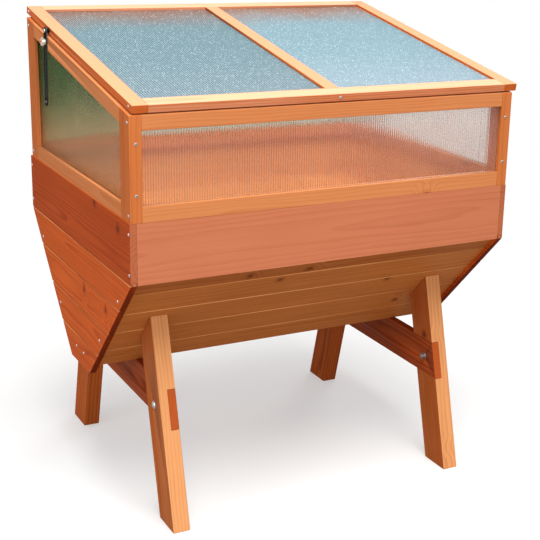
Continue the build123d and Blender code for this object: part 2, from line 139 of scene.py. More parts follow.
# Metal finishes
SCUFF_SCALES = (420.0, 420.0, 420.0)
TARNISH_SCALES = (60.0, 60.0, 60.0)
GRIT_SCALES = (300.0, 300.0, 300.0)
TARNISH_GAINS = (0.72, 0.72, 0.72)

# Wood screws: shares of the head, and places in millimetres
CROSS_ARM = 0.36
CROSS_FLOOR = 0.35
HEAD_FLAT = 0.72
HEAD_SIDES = 24
HEAD_STEPS = 3
RIM_SCREW_INSET = 8
RIM_SCREW_DROPS = (25, 117)
SLOPE_SCREW_INSET = 29
SLOPE_SCREW_DROPS = (61, 202)
FLOOR_SCREW_REACH = 28
FLOOR_SCREW_RISE = 39
STILE_SCREW_SHIFT = 1
STILE_SCREW_RISE = 61
STILE_SCREW_DROP = 65
CORNER_SCREW_RISE = 16
CORNER_SCREW_DROP = 20
HINGE_SCREW_REACH = 0.6
HINGE_SCREW_SCALE = 0.8

# Stage: each lamp's place, the height that it faces and its size, in metres
LAMPS = {
    "key": ((-0.3, -1.3, 4.2), 0.7, 3.0),
    "fill": ((-1.2, -4.4, 1.5), 0.6, 2.6),
    "side": ((-4.2, -0.8, 1.3), 0.6, 2.6),
    "rear": ((3.3, 3.2, 1.0), 0.6, 1.8),
}
SKY_COLOUR = (0.96, 0.98, 1.0, 1.0)
WHITE = (1.0, 1.0, 1.0, 1.0)
FLOOR_SEEN = (0.90, 0.90, 0.89, 1.0)
FLOOR_UNSEEN = (0.34, 0.33, 0.30, 1.0)
FLOOR_RADIUS = 40
FLOOR_SIDES = 96
FLOOR_FADE = (0.9, 2.4)
FLOOR_WHITENESS = 0.40


class Wood(NamedTuple):
    """A stained softwood, with linear colours and its ring pitch in millimetres.

    Face shades paint light and shade: they darken the faces that look up, to the front, and any other way.
    Faces that look down take the first of them in reverse. The end shade darkens end faces, and lightens them
    as painted light where it is negative. The edge highlight share paints a pale highlight on the chamfers.
    """

    name: str
    pale: tuple
    deep: tuple
    ring_pitch: float
    ring_strength: float
    knot_share: float = 0.12
    face_shades: tuple = (0.0, 0.0, 0.0)
    end_shade: float = 0.3
    worn_share: float = 0.45


# Painted light and shade by outlook: paler tops and darker sides
FRAME_SHADES = (-0.8, 0.0, 0.3)
LID_SHADES = (-0.45, 0.2, 0.7)
WOODS = {
    # Tops paler and slanted lower edges darker: painted light and shade
    "end": Wood(
        "End board wood", (0.660, 0.116, 0.015), (0.375, 0.050, 0.006),
        ring_pitch=5.5, ring_strength=0.75, face_shades=(-1.3, 0.0, 0.0),
    ),
    "rim": Wood(
        "Rim board wood", (0.610, 0.200, 0.098), (0.480, 0.135, 0.058),
        ring_pitch=9.0, ring_strength=0.45,
    ),
    "slope": Wood(
        "Slope board wood", (0.560, 0.175, 0.040), (0.340, 0.088, 0.018),
        ring_pitch=7.0, ring_strength=0.55, knot_share=0.14, worn_share=0.8,
    ),
    # Paler wood for the trough's inside, with its side and rear faces paler still: painted light
    "inner": Wood(
        "Inner wood", (0.840, 0.375, 0.110), (0.620, 0.215, 0.048),
        ring_pitch=9.0, ring_strength=0.45, knot_share=0.15, face_shades=(0.0, 0.0, -0.35),
    ),
    # Fronts paler and sides darker: painted light and shade
    "leg": Wood(
        "Front leg wood", (0.800, 0.350, 0.138), (0.400, 0.092, 0.018),
        ring_pitch=6.0, ring_strength=0.38, face_shades=(0.0, -0.25, 0.6),
    ),
    # A darker copy of the leg wood for the rear legs: painted shade under the trough
    "rear_leg": Wood(
        "Rear leg wood", (0.600, 0.140, 0.028), (0.330, 0.058, 0.010),
        ring_pitch=6.0, ring_strength=0.8,
    ),
    # Darker wood under the trough, painted shade; its ends are lightened, painted light
    "crossbar": Wood(
        "Crossbar wood", (0.470, 0.092, 0.020), (0.205, 0.030, 0.007),
        ring_pitch=6.0, ring_strength=0.7, knot_share=0.2, end_shade=-0.9,
    ),
    "frame": Wood(
        "Frame rail wood", (0.670, 0.244, 0.089), (0.520, 0.150, 0.045),
        ring_pitch=6.0, ring_strength=0.5, knot_share=0.35, face_shades=FRAME_SHADES,
    ),
    "stile": Wood(
        "Frame stile wood", (0.620, 0.188, 0.053), (0.470, 0.108, 0.024),
        ring_pitch=6.0, ring_strength=0.5, knot_share=0.15, face_shades=FRAME_SHADES,
    ),
    "lid": Wood(
        "Lid wood", (0.735, 0.308, 0.160), (0.570, 0.118, 0.022),
        ring_pitch=6.0, ring_strength=0.45, face_shades=LID_SHADES, end_shade=0.6,
    ),
    # A paler copy of the lid wood for the rails: painted light
    "lid_rail": Wood(
        "Lid rail wood", (0.800, 0.385, 0.225), (0.570, 0.118, 0.022),
        ring_pitch=6.0, ring_strength=0.45, face_shades=LID_SHADES, end_shade=0.6,
    ),
}


def millimetres(value):
    """A size given in millimetres, in Blender's metres."""
    return value / 1000


def colour_property(name, description, default):
    """A linear colour that the sidebar shows as a swatch."""
    return FloatVectorProperty(
        name=name, description=description, default=default, subtype="COLOR", min=0, max=1
    )


def length_property(name, description, default):
    """A length in metres, written in millimetres."""
    size = millimetres(default)
    return FloatProperty(name=name, description=description, default=size, min=0, precision=5, unit="LENGTH")


def share_property(name, description, default):
    """A share from nothing to all."""
    return FloatProperty(name=name, description=description, default=default, min=0, max=1, subtype="FACTOR")


def number_property(name, description, default, subtype="NONE"):
    """A plain number, an angle or a power."""
    return FloatProperty(name=name, description=description, default=default, subtype=subtype)


def stain_properties():
    """The early and late growth of each wood, as colours."""
    for key, wood in WOODS.items():
        for shade, growth, default in (("pale", "Early", wood.pale), ("deep", "Late", wood.deep)):
            description = f"{growth} growth of the {wood.name.lower()}"
            yield f"{key}_{shade}", colour_property(f"{wood.name}, {shade}", description, default)


class BedSizes(bpy.types.PropertyGroup):
    """Small sizes of the dressed pieces."""

    board_edge: length_property("Board edge", "Rounding of the trough boards' edges", 0.9)
    rail_edge: length_property("Rail edge", "Rounding of the frame rails' edges", 1.1)
    leg_edge: length_property("Leg edge", "Rounding of the legs' edges", 1.6)
    stay_edge: length_property("Stay edge", "Rounding of the stay's edges", 0.3)
    rib_pitch: length_property("Rib pitch", "Distance between the ribs of a twin-wall sheet", 6.0)
    rib_wall: length_property("Rib wall", "Thickness of a rib", 0.45)
    skin: length_property("Skin", "Thickness of each skin of a twin-wall sheet", 0.55)
    screw_head: length_property("Screw head", "Radius of a wood screw's head", 3.6)
    screw_dome: length_property("Screw dome", "Height of a wood screw's head", 1.5)
    screw_cross: length_property("Screw cross", "Reach of the cross recess from the head's middle", 2.0)


class BedColours(bpy.types.PropertyGroup):
    """Sheet tints, metal colours and the woods' stains, as linear values, some holding painted light and
    shade.
    """

    front_sheet: colour_property("Front sheet", "Tint of the front sheet", (0.970, 0.950, 0.920))
    left_sheet: colour_property("Left sheet", "Tint of the left sheet", (0.990, 0.885, 0.690))
    painted_green_view: colour_property("Painted green view", "Film high on the left sheet", (0.400, 0.620, 0.400))
    right_sheet: colour_property("Right sheet", "Tint of the right sheet", (0.945, 0.915, 0.918))
    rear_sheet: colour_property("Rear sheet", "Tint of the rear sheet", (0.750, 0.745, 0.680))
    # The lid's tints are partly a painted reflection of the sky
    lid_left: colour_property("Lid, left", "Tint of the lid's left sheet", (0.178, 0.292, 0.328))
    lid_right: colour_property("Lid, right", "Tint of the lid's right sheet", (0.222, 0.352, 0.402))
    # Painted reflection of the rear rail, warm near the rear
    lid_shade: colour_property("Lid shade", "Shade of the lid's sheets at the rear", (0.330, 0.150, 0.085))
    zinc: colour_property("Zinc", "Plated screws and bolts", (0.620, 0.640, 0.650))
    black: colour_property("Black steel", "The stay's black coat", (0.004, 0.005, 0.005))
    # Painted highlight on the stay's narrow edges
    highlighted_edge: colour_property("Highlighted edge", "Painted highlight on the stay's narrow edges", (0.060, 0.066, 0.066))
    brass: colour_property("Brass", "The wing screw", (0.820, 0.800, 0.700))


BedColours.__annotations__.update(stain_properties())


class BedStage(bpy.types.PropertyGroup):
    """Camera and light."""

    camera_place: FloatVectorProperty(
        name="Camera place",
        description="Where the camera stands",
        default=(-1.34973, -2.77175, 1.46338),
        subtype="TRANSLATION",
        unit="LENGTH",
    )
    camera_yaw: number_property("Yaw", "Turn from +Y towards +X", 0.5216, "ANGLE")
    camera_pitch: number_property("Pitch", "Tilt above level", -0.2961, "ANGLE")
    camera_roll: number_property("Roll", "Turn about the view", 0.0337, "ANGLE")
    focal_pixels: number_property("Focal length", "In pixels of the picture", 1208.8)
    shift_x: number_property("Shift X", "Sideways shift of the picture", -0.1277)
    shift_y: number_property("Shift Y", "Upright shift of the picture", -0.0166)
    key_watts: number_property("Key lamp", "Power of the large lamp above", 250, "POWER")
    fill_watts: number_property("Fill lamp", "Power of the front lamp", 40, "POWER")
    side_watts: number_property("Side lamp", "Power of the left lamp", 46, "POWER")
    rear_watts: number_property("Rear lamp", "Power of the rear lamp", 70, "POWER")
    sky_level: share_property("Sky level", "Strength of the even light all round", 0.42)


class Net:
    """A node tree, with short ways to add and join its nodes."""

    def __init__(self, tree):
        self.tree = tree

    def add(self, kind, **settings):
        """A new node with the given settings."""
        node = self.tree.nodes.new(kind)
        for name, value in settings.items():
            setattr(node, name, value)
        return node

    def feed(self, socket, value):
        """Joins a socket to another's output, or sets it to a plain value."""
        if isinstance(value, bpy.types.NodeSocket):
            self.tree.links.new(value, socket)
        else:
            socket.default_value = value

    def fill(self, node, values):
        """A node's outputs, once its inputs are fed by their names."""
        for name, value in values.items():
            self.feed(node.inputs[name], value)
        return node.outputs

    def run(self, node, *values):
        """A node's first output, once its inputs are fed in their order."""
        for socket, value in zip(node.inputs, values):
            self.feed(socket, value)
        return node.outputs[0]

    def math(self, operation, *values):
        """One Math node's result."""
        return self.run(self.add("ShaderNodeMath", operation=operation), *values)

    def times(self, first, second):
        """One value times another."""
        return self.math("MULTIPLY", first, second)

    def minus(self, first, second):
        """One value less another."""
        return self.math("SUBTRACT", first, second)

    def weighted(self, start, *terms):
        """A start to which values are added, each times its weight."""
        total = start
        for value, weight in terms:
            total = self.math("MULTIPLY_ADD", value, weight, total)
        return total

    def radius(self, first, second):
        """The distance from the origin in two directions."""
        squares = (self.math("POWER", part, 2.0) for part in (first, second))
        return self.math("SQRT", self.math("ADD", *squares))

    def scaled(self, vector, factors):
        """A vector times three factors."""
        return self.run(self.add("ShaderNodeVectorMath", operation="MULTIPLY"), vector, factors)

    def split(self, vector):
        """The three parts of a vector."""
        return self.fill(self.add("ShaderNodeSeparateXYZ"), {"Vector": vector})

    def object_place(self):
        """The place on the object, in metres."""
        return self.add("ShaderNodeTexCoord").outputs["Object"]

    def attribute(self, name, output):
        """One of the piece's own attributes."""
        return self.add("ShaderNodeAttribute", attribute_name=name).outputs[output]

    def noise(self, vector, scales, detail, roughness=0.55):
        """Noise from 0 to 1 over a vector times its scales."""
        place = self.scaled(vector, scales)
        values = {"Vector": place, "Scale": 1.0, "Detail": detail, "Roughness": roughness}
        return self.fill(self.add("ShaderNodeTexNoise"), values)["Fac"]

    def cells(self, vector, scale):
        """The distance to the nearest scattered point in two directions, and that point's three chances."""
        node = self.add("ShaderNodeTexVoronoi", voronoi_dimensions="2D")
        outputs = self.fill(node, {"Vector": vector, "Scale": scale})
        return outputs["Distance"], self.split(outputs["Color"])

    def between(self, value, low, high, to_low=0.0, to_high=1.0):
        """A value eased from one range to another."""
        node = self.add("ShaderNodeMapRange", interpolation_type="SMOOTHSTEP")
        limits = {"From Min": low, "From Max": high, "To Min": to_low, "To Max": to_high}
        return self.fill(node, {"Value": value, **limits})["Result"]

    def falling(self, value, low, high):
        """All up to a low value, eased to nothing at a high one."""
        return self.between(value, low, high, to_low=1.0, to_high=0.0)

    def mixed(self, factor, first, second, blend="MIX"):
        """Two colours mixed."""
        node = self.add("ShaderNodeMix", data_type="RGBA", blend_type=blend)
        for socket, value in ((0, factor), (6, first), (7, second)):
            self.feed(node.inputs[socket], value)
        return node.outputs[2]

    def bump(self, height, strength, distance):
        """A normal that follows a height."""
        values = {"Strength": strength, "Distance": distance, "Height": height}
        return self.fill(self.add("ShaderNodeBump"), values)[0]

    def blended(self, factor, first, second):
        """Two shaders blended."""
        return self.run(self.add("ShaderNodeMixShader"), factor, first, second)

    def group(self, name, build, values):
        """The outputs of a node group, which is built on its first use."""
        tree = bpy.data.node_groups.get(name) or build(name)
        return self.fill(self.add("ShaderNodeGroup", node_tree=tree), values)


def opaque(colour, gains=(1.0, 1.0, 1.0)):
    """A colour property, its channels times their gains, as a socket's four numbers."""
    return (*(channel * gain for channel, gain in zip(colour, gains)), 1.0)


def new_group(name, inputs, outputs):
    """A shader node group with named sockets of each kind, and the net to fill it."""
    tree = bpy.data.node_groups.new(name, "ShaderNodeTree")
    for direction, sockets in (("INPUT", inputs), ("OUTPUT", outputs)):
        for kind, socket_names in sockets.items():
            for socket_name in socket_names:
                tree.interface.new_socket(socket_name, in_out=direction, socket_type="NodeSocket" + kind)
    net = Net(tree)
    return net, net.add("NodeGroupInput").outputs, net.add("NodeGroupOutput").inputs


def stained_softwood(name):
    """Growth rings, fibre, stain blotches and knots of a stained softwood board, with painted light and shade.
    """
    inputs = {
        "Vector": ("Grain", "Facing", "Face Shades"),
        "Color": ("Pale", "Deep", "Bare"),
        "Float": (
            "End Face", "Worn Edge", "Tone", "Ring Pitch",
            "Ring Strength", "Knot Share", "End Shade", "Worn Share",
        ),
    }
    outputs = {"Color": ("Color",), "Float": ("Roughness", "Height")}
    net, given, result = new_group(name, inputs, outputs)
    grain = given["Grain"]
    _, across, depth = net.split(grain)

    knot_distance, knot_chances = net.cells(grain, KNOTS_PER_METRE)
    chosen = net.math("LESS_THAN", knot_chances[0], given["Knot Share"])
    swirl, core, halo = (
        net.times(chosen, net.falling(knot_distance, *reach)) for reach in (KNOT_SWIRL, KNOT_CORE, KNOT_HALO)
    )

    wander = net.minus(net.noise(grain, WANDER_SCALES, detail=2.0), 0.5)
    radius = net.weighted(net.radius(across, depth), (wander, RING_WANDER), (swirl, RING_SWIRL))
    ring = net.math("FRACT", net.math("DIVIDE", radius, given["Ring Pitch"]))
    late_wood = net.times(net.math("POWER", ring, LATE_WOOD_POWER), net.falling(ring, LATE_WOOD_END, 1.0))
    late_wood = net.times(late_wood, given["Ring Strength"])

    fibre = net.noise(grain, FIBRE_SCALES, detail=3.0, roughness=0.65)
    streak = net.noise(grain, STREAK_SCALES, detail=2.0)
    blotch = net.noise(grain, BLOTCH_SCALES, detail=3.0)

    # Painted light and shade: each face lighter or darker by the way it looks
    painted_face_shade = net.add("ShaderNodeVectorMath", operation="DOT_PRODUCT")
    net.run(painted_face_shade, given["Facing"], given["Face Shades"])
    darkness = net.weighted(
        -MEAN_DARKNESS,
        (late_wood, 1.1),
        (fibre, 0.34),
        (streak, 0.42),
        (blotch, 0.50),
        (given["Tone"], 0.34),
        (painted_face_shade.outputs["Value"], 1.0),
        (halo, 0.55),
        (given["End Face"], given["End Shade"]),
    )
    stain = net.mixed(darkness, given["Pale"], given["Deep"])
    stain = net.mixed(net.between(darkness, 1.0, 2.0), stain, SHADED_WOOD, "MULTIPLY")
    stain = net.mixed(net.times(core, KNOT_DEPTH), stain, KNOT_WOOD)
    # Painted highlight on the chamfers, patchy along the streaks
    painted_highlight = net.times(given["Worn Share"], net.between(streak, 0.2, 0.8, to_low=0.4, to_high=1.6))
    stain = net.mixed(net.times(given["Worn Edge"], painted_highlight), stain, given["Bare"])
    net.feed(result["Color"], stain)
    net.feed(result["Roughness"], net.weighted(0.40, (fibre, 0.20), (given["End Face"], 0.15)))
    net.feed(result["Height"], net.weighted(0.0, (late_wood, 0.7), (fibre, -0.5)))
    return net.tree


def rib_lines(name):
    """Soft lines over the ribs of a twin-wall sheet, and the swell of its skins between them."""
    inputs = {"Float": ("Across", "Pitch", "Line Share")}
    net, given, result = new_group(name, inputs, {"Float": ("Line", "Swell")})
    turns = net.math("DIVIDE", given["Across"], given["Pitch"])
    net.feed(result["Swell"], net.math("COSINE", net.times(turns, math.tau)))
    off_middle = net.math("ABSOLUTE", net.minus(net.math("FRACT", turns), 0.5))
    edge = net.minus(0.5, given["Line Share"])
    net.feed(result["Line"], net.between(off_middle, edge, 0.5))
    return net.tree


def rain_bead_glints(name):
    """Small beads of rain scattered over a sheet, their brightness a painted glint."""
    inputs = {"Vector": ("Place",), "Float": ("Scale", "Share")}
    net, given, result = new_group(name, inputs, {"Float": ("Glint",)})
    distance, chances = net.cells(net.scaled(given["Place"], BEAD_STRETCH), given["Scale"])
    radius = net.between(chances[0], 0.0, 1.0, *BEAD_RADII)
    bead = net.falling(net.math("DIVIDE", distance, radius), 0.5, 1.0)
    rare = net.between(chances[1], net.minus(1.0, given["Share"]), 1.0)
    net.feed(result["Glint"], net.times(bead, rare))
    return net.tree


def new_material(name):
    """An empty material, its net, its main shader and its surface socket."""
    material = bpy.data.materials.new(name)
    material.use_nodes = True
    material.node_tree.nodes.clear()
    net = Net(material.node_tree)
    shader = net.add("ShaderNodeBsdfPrincipled")
    surface = net.add("ShaderNodeOutputMaterial").inputs["Surface"]
    net.feed(surface, shader.outputs[0])
    return material, net, shader, surface


def stained_wood(colours, key):
    """Stained and oiled softwood whose grain follows each board."""
    wood = WOODS[key]
    material, net, shader, _ = new_material(wood.name)
    grown = net.group("Stained softwood", stained_softwood, {
        "Grain": net.attribute("grain", "Vector"),
        "Facing": net.attribute("facing", "Vector"),
        "End Face": net.attribute("end_face", "Fac"),
        "Worn Edge": net.attribute("worn_edge", "Fac"),
        "Tone": net.attribute("board_tone", "Fac"),
        "Pale": opaque(getattr(colours, key + "_pale")),
        "Deep": opaque(getattr(colours, key + "_deep")),
        "Bare": EDGE_HIGHLIGHT_WOOD,
        "Ring Pitch": millimetres(wood.ring_pitch),
        "Ring Strength": wood.ring_strength,
        "Knot Share": wood.knot_share,
        "Face Shades": wood.face_shades,
        "End Shade": wood.end_shade,
        "Worn Share": wood.worn_share,
    })
    net.fill(shader, {
        "Base Color": grown["Color"],
        "Roughness": grown["Roughness"],
        "Specular IOR Level": 0.05,
        "Normal": net.bump(grown["Height"], strength=0.35, distance=millimetres(0.5)),
    })
    return material


def scuffed_metal(name, colour, metallic, roughness, wear):
    """Plated steel or brass with fine scuffs."""
    material, net, shader, _ = new_material(name)
    place = net.object_place()
    scuff = net.noise(place, SCUFF_SCALES, detail=4.0)
    tarnish = net.noise(place, TARNISH_SCALES, detail=2.0)
    net.fill(shader, {
        "Base Color": net.mixed(tarnish, opaque(colour), opaque(colour, TARNISH_GAINS)),
        "Metallic": metallic,
        "Roughness": net.weighted(roughness, (scuff, wear)),
    })
    return material


def black_coat(name, colour, edge):
    """Black powder coat, with a painted grey highlight on the narrow edges."""
    material, net, shader, _ = new_material(name)
    grit = net.noise(net.object_place(), GRIT_SCALES, detail=3.0)
    patchy = net.between(grit, 0.2, 0.7, to_low=0.5, to_high=1.0)
    # Painted highlight on the narrow edges, patchy with the grit
    highlighted_edge = net.times(net.attribute("worn_edge", "Fac"), patchy)
    net.fill(shader, {
        "Base Color": net.mixed(highlighted_edge, opaque(colour), opaque(edge)),
        "Roughness": net.between(grit, 0.0, 1.0, to_low=0.34, to_high=0.48),
        "Specular IOR Level": 0.02,
    })
    return material


def let_lamps_through(net, shader, surface):
    """Lets lamp light pass through a sheet, so that what is behind it is lit."""
    through = net.add("ShaderNodeBsdfTransparent")
    net.feed(through.inputs["Color"], LAMP_LIGHT)
    lamp_ray = net.add("ShaderNodeLightPath").outputs["Is Shadow Ray"]
    net.feed(surface, net.blended(lamp_ray, shader.outputs[0], through.outputs[0]))


def sheet_material(name, tint, painted_view, haze, index, rib_tone, pitch):
    """Twin-wall plastic sheet that blurs sideways what is behind it, with its ribs showing as soft lines.

    The painted view, the green of the garden seen through the sheet, tints it from low at its rear to higher
    at its front. Haze is the milky share of the sheet, index how far it bends light, and rib tone the share of
    light that its ribs pass.
    """
    material, net, shader, surface = new_material(name)
    low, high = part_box("left_pane")
    _, y, z = net.split(net.object_place())
    ahead = net.math("DIVIDE", net.minus(high.y, y), high.y - low.y)
    painted_view_edge = net.weighted(low.z, (ahead, PAINTED_VIEW_RISE))
    painted_view_share = net.between(net.minus(z, painted_view_edge), 0.0, PAINTED_VIEW_FADE)
    grain = net.attribute("grain", "Vector")
    streak = net.noise(grain, PAINTED_VIEW_SCALES, detail=2.0)
    painted_view_share = net.times(painted_view_share, net.between(streak, 0.35, 0.70, to_low=1.0, to_high=0.62))
    # Painted green of the garden seen through the sheet, high up
    colour = net.mixed(painted_view_share, opaque(tint), opaque(painted_view))
    ribs = net.mixed(1.0, colour, (rib_tone, rib_tone, rib_tone, 1.0), "MULTIPLY")
    values = {"Across": net.split(grain)[1], "Pitch": pitch, "Line Share": 0.30}
    lines = net.group("Rib lines", rib_lines, values)
    net.fill(shader, {
        "Base Color": net.mixed(lines["Line"], colour, ribs),
        "Roughness": 0.06,
        "Transmission Weight": 1.0 - haze,
        "Specular IOR Level": 0.12,
        "IOR": index,
        "Normal": net.bump(lines["Swell"], strength=1.0, distance=SKIN_SLOPE * pitch / math.tau),
    })
    let_lamps_through(net, shader, surface)
    return material


def wet_sheet_material(name, tint, shade, reach, pitch, rib_depth):
    """Twin-wall sheet of the lid: milky, tinted partly by a painted sky reflection that is lighter at the
    front, beaded with rain that carries painted glints, and warmer near the rear rail, a painted reflection of
    it.

    Reach is where the sheet begins and ends along its slope, and rib depth how far its ribs darken it.
    """
    material, net, shader, surface = new_material(name)
    grain = net.attribute("grain", "Vector")
    along, across, _ = net.split(grain)
    share = net.math("DIVIDE", net.minus(along, reach[0]), reach[1] - reach[0])
    cloud = net.minus(net.noise(grain, CLOUD_SCALES, detail=2.0), 0.5)
    wandering = net.weighted(share, (cloud, CLOUD_REACH))
    # Painted sky reflection in the tint, lighter towards the front
    colour = net.mixed(net.between(wandering, 0.0, 0.5), opaque(tint, FRONT_GAINS), opaque(tint))
    # Painted warm reflection of the rear rail, near the rear
    colour = net.mixed(net.between(wandering, 0.72, 1.02, to_high=0.95), colour, opaque(shade))
    lines = net.group("Rib lines", rib_lines, {"Across": across, "Pitch": pitch, "Line Share": 0.45})
    colour = net.mixed(net.times(lines["Line"], rib_depth), colour, opaque(tint, RIB_GAINS))
    bead_share = net.between(wandering, 0.1, 0.9, to_low=0.58, to_high=0.42)
    values = {"Place": grain, "Scale": BEADS_PER_METRE, "Share": bead_share}
    glint = net.group("Rain beads", rain_bead_glints, values)["Glint"]
    net.fill(shader, {
        # Painted glints on the rain beads
        "Base Color": net.mixed(glint, colour, BEAD_GLINT_COLOUR),
        "Roughness": net.between(glint, 0.0, 1.0, to_low=0.35, to_high=0.15),
        "Transmission Weight": 0.2,
        "Specular IOR Level": 0.2,
        "IOR": 1.12,
        "Normal": net.bump(glint, strength=0.30, distance=millimetres(0.6)),
    })
    let_lamps_through(net, shader, surface)
    return material


def closed_shells(mesh):
    """The mesh's faces in groups, one for each closed solid, in the order in which they are stored."""
    open_edges = set()
    shell = []
    for face in mesh.polygons:
        corners = [tuple(round(part, EDGE_PLACES) for part in mesh.vertices[i].co) for i in face.vertices]
        shell.append(corners)
        for edge in zip(corners, corners[1:] + corners[:1]):
            if edge[::-1] in open_edges:
                open_edges.remove(edge[::-1])
            else:
                open_edges.add(edge)
        if not open_edges:
            yield shell
            shell = []
    if shell:
        yield shell


def solid_from(shell):
    """One solid of a CAD node, its triangles joined and its flat faces whole."""
    solid = bmesh.new()
    corner_at = {}
    for corners in shell:
        for corner in corners:
            if corner not in corner_at:
                corner_at[corner] = solid.verts.new(corner)
        if len(set(corners)) == len(corners):
            solid.faces.new([corner_at[corner] for corner in corners])
    bmesh.ops.dissolve_limit(solid, angle_limit=FLAT_ANGLE, verts=solid.verts[:], edges=solid.edges[:])
    solid.normal_update()
    return solid


def node_solids(node):
    """Each solid of a CAD node in turn."""
    return map(solid_from, closed_shells(frame["nodes"][node].data))


def widest_of(faces):
    """The face with the largest area."""
    return max(faces, key=lambda face: face.calc_area())


def is_sharp(edge):
    """Whether two faces meet at an edge with a clear turn."""
    return len(edge.link_faces) == 2 and edge.calc_face_angle() > SHARP_ANGLE


def board_axes(solid):
    """Along the longest sharp edge, across the board, and out of its widest face."""
    longest = max(filter(is_sharp, solid.edges), key=lambda edge: edge.calc_length())
    along = (longest.verts[1].co - longest.verts[0].co).normalized()
    widest = widest_of(face for face in solid.faces if abs(face.normal.dot(along)) < HARDLY)
    depth = (widest.normal - along * widest.normal.dot(along)).normalized()
    if along[max(range(3), key=lambda axis: abs(along[axis]))] < 0:
        along = -along
    return along, depth.cross(along), depth


def outlook(normal):
    """How far a face looks up or down, whether to the front, and whether another way."""
    if normal.z > MAINLY:
        return Vector((1, 0, 0))
    if normal.z < -SLANTED:
        return Vector((-1, 0, 0))
    return Vector((0, 1, 0)) if normal.y < -MAINLY else Vector((0, 0, 1))


def mark_grain(solid, chance, added_shade):
    """Gives a board its grain coordinates, its random darkness plus any painted shade, and marks its end
    faces, chamfers and outlook for painted light and shade.
    """
    along, across, depth = board_axes(solid)
    grain_layer = solid.verts.layers.float_vector.new("grain")
    tone_and_shade_layer = solid.verts.layers.float.new("board_tone")
    end_layer = solid.faces.layers.float.new("end_face")
    edge_highlight_layer = solid.faces.layers.float.new("worn_edge")
    facing_layer = solid.faces.layers.float_vector.new("facing")
    middle = sum((vert.co for vert in solid.verts), Vector()) / len(solid.verts)
    start = chance.uniform(0, GRAIN_LENGTH)
    aside = chance.uniform(-PITH_SHIFT, PITH_SHIFT)
    below = chance.choice(BOTH_SIDES) * chance.uniform(*PITH_DEPTHS)
    # Random darkness of the board, plus painted shade on the highest board
    darkening = chance.random() + added_shade
    for vert in solid.verts:
        place = vert.co - middle
        grain = Vector((place.dot(along), place.dot(across), place.dot(depth)))
        vert[grain_layer] = grain + Vector((start, aside, below))
        vert[tone_and_shade_layer] = darkening
    for face in solid.faces:
        face[end_layer] = float(abs(face.normal.dot(along)) > MAINLY)
        # Chamfers are marked for a painted highlight
        face[edge_highlight_layer] = float(min(abs(face.normal.dot(across)), abs(face.normal.dot(depth))) > SLANTED)
        face[facing_layer] = outlook(face.normal)


def mark_eased_edges(solid, least_length):
    """Marks the long sharp edges for the Bevel modifier."""
    weight = solid.edges.layers.float.new("bevel_weight_edge")
    for edge in solid.edges:
        edge[weight] = float(is_sharp(edge) and edge.calc_length() > least_length)


def mesh_from(solid, name, *materials):
    """A mesh with its materials, from a bmesh that is then freed."""
    mesh = bpy.data.meshes.new(name)
    solid.to_mesh(mesh)
    solid.free()
    for material in materials:
        mesh.materials.append(material)
    return mesh


def add_to(whole, part):
    """Adds one bmesh to another, with its layers, and frees it."""
    mesh = mesh_from(part, "part")
    whole.from_mesh(mesh)
    bpy.data.meshes.remove(mesh)


def linked_object(name, data):
    """A new object for a mesh, a lamp or a camera, in the scene."""
    holder = bpy.data.objects.new(name, data)
    bpy.context.scene.collection.objects.link(holder)
    return holder


def ease_edges(piece, width):
    """Rounds the marked edges, with flat faces left flat."""
    for polygon in piece.data.polygons:
        polygon.use_smooth = True
    bevel = piece.modifiers.new("Eased edges", "BEVEL")
    bevel.limit_method = "WEIGHT"
    bevel.width = width
    bevel.segments = 2
    bevel.profile = 0.5
    bevel.harden_normals = True
    bevel.use_clamp_overlap = False


def settle(piece, body, slot, *nodes):
    """A finished piece rides on its body and stands for its nodes; its slot is not used."""
    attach(piece, body)
    if nodes:
        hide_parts(*nodes)


def body_of(node):
    """The body that a CAD node rides on."""
    bodies = frame["record"]["behaviour"]["bodies"]
    return next(body for body, members in bodies.items() if node in members)


def outer_slopes():
    """A point and the outward normal of the outer face of each slope wall."""
    slopes = []
    for node in ("slope_boards_front", "slope_boards_rear"):
        solid = next(node_solids(node))
        widest = widest_of(face for face in solid.faces if face.normal.z < 0)
        slopes.append((widest.calc_center_median(), widest.normal.copy()))
        solid.free()
    return slopes


def choose_materials(solid, count):
    """Gives faces that look into the trough the second material, and upright front and rear edges the third.

    The second, the paler inner wood, is painted light, and so is the third, the paler rim wood, on the end
    boards' upright edges.

    The end boards have all three. They reach past the slope walls, so they are first divided there.
    """
    middle = (cad_box[0] + cad_box[1]) / 2
    has_inner, has_edges = count > 1, count > 2
    slopes = outer_slopes() if has_edges else []
    for point, normal in slopes:
        parts = solid.verts[:] + solid.edges[:] + solid.faces[:]
        bmesh.ops.bisect_plane(solid, geom=parts, plane_co=point, plane_no=normal)
    for face in solid.faces:
        centre = face.calc_center_median()
        within = all((centre - point).dot(normal) < 0 for point, normal in slopes)
        if has_edges and abs(face.normal.y) > SQUARELY:
            face.material_index = 2
        elif has_inner and within and face.normal.dot((middle - centre).normalized()) > SLANTED:
            face.material_index = 1


def dress_wood(node, slot, materials, edge_width, top_shade=0.0):
    """A wooden CAD node with its own grain and eased edges.

    The second and third materials are for inner faces and upright edges. The top shade darkens the highest
    board, as painted shade.
    """
    chance = random.Random(node)
    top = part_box(node)[1].z
    whole = bmesh.new()
    for solid in node_solids(node):
        highest = max(vert.co.z for vert in solid.verts) > top - SMALL_GAP
        mark_grain(solid, chance, top_shade if highest else 0.0)
        choose_materials(solid, len(materials))
        mark_eased_edges(solid, LEAST_EASED * edge_width)
        add_to(whole, solid)
    name = node + "_wood"
    piece = linked_object(name, mesh_from(whole, name, *materials))
    ease_edges(piece, edge_width)
    settle(piece, body_of(node), slot, node)


